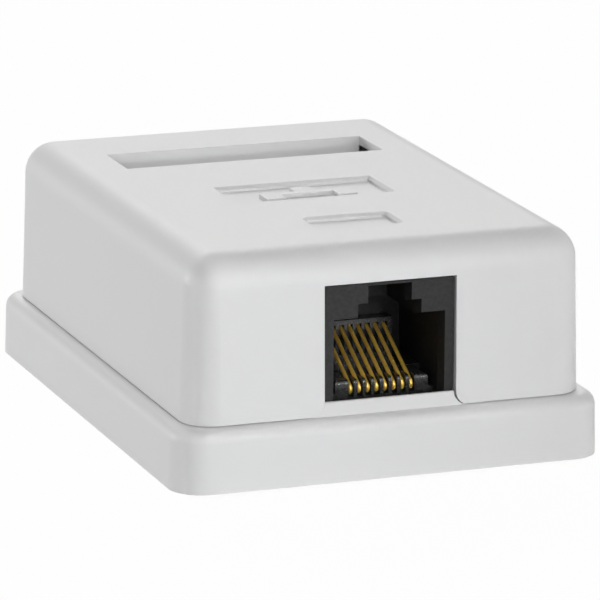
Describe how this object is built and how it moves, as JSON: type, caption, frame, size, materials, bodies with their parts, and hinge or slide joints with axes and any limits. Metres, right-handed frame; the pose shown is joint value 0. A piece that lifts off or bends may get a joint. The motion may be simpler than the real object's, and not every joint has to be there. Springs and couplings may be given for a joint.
{
  "type": "surface mount jack box",
  "caption": "White surface mount jack box: lift-off cover over a tray base, with a circuit board, a modular jack at the front and wire terminals inside.",
  "frame": {"origin": "centre of the base's underside, on the wall or table that it is fixed to", "axes": "+Z away from the wall, -Y out of the jack's mouth, +X to the right as seen facing the jack"},
  "size_m": [0.05, 0.067, 0.0257],
  "materials": {
    "white_shell": "satin moulded",
    "green_laminate": "solder mask on laminate",
    "black_moulding": "fine moulded",
    "natural_moulding": "fine moulded",
    "gold_contact": "gold plated",
    "tinned_blade": "tin plated",
    "plated_screw": "zinc plated"
  },
  "bodies": {
    "base_assembly": {"base": "white_shell", "circuit_board": "green_laminate", "jack_housing": "black_moulding", "contact_carrier": "black_moulding", "idc_block_left": "natural_moulding", "idc_block_right": "natural_moulding", "board_screws": "plated_screw", "contact_1": "gold_contact", "contact_2": "gold_contact", "contact_3": "gold_contact", "contact_4": "gold_contact", "contact_5": "gold_contact", "contact_6": "gold_contact", "contact_7": "gold_contact", "contact_8": "gold_contact", "idc_terminal_1": "tinned_blade", "idc_terminal_2": "tinned_blade", "idc_terminal_3": "tinned_blade", "idc_terminal_4": "tinned_blade", "idc_terminal_5": "tinned_blade", "idc_terminal_6": "tinned_blade", "idc_terminal_7": "tinned_blade", "idc_terminal_8": "tinned_blade"},
    "cover": {"cover": "white_shell"}
  },
  "joints": [
    {"name": "cover_lift", "type": "slide", "parent": "base_assembly", "child": "cover", "axis": [0, 0, 1], "range_m": [0, 0.03]}
  ]
}
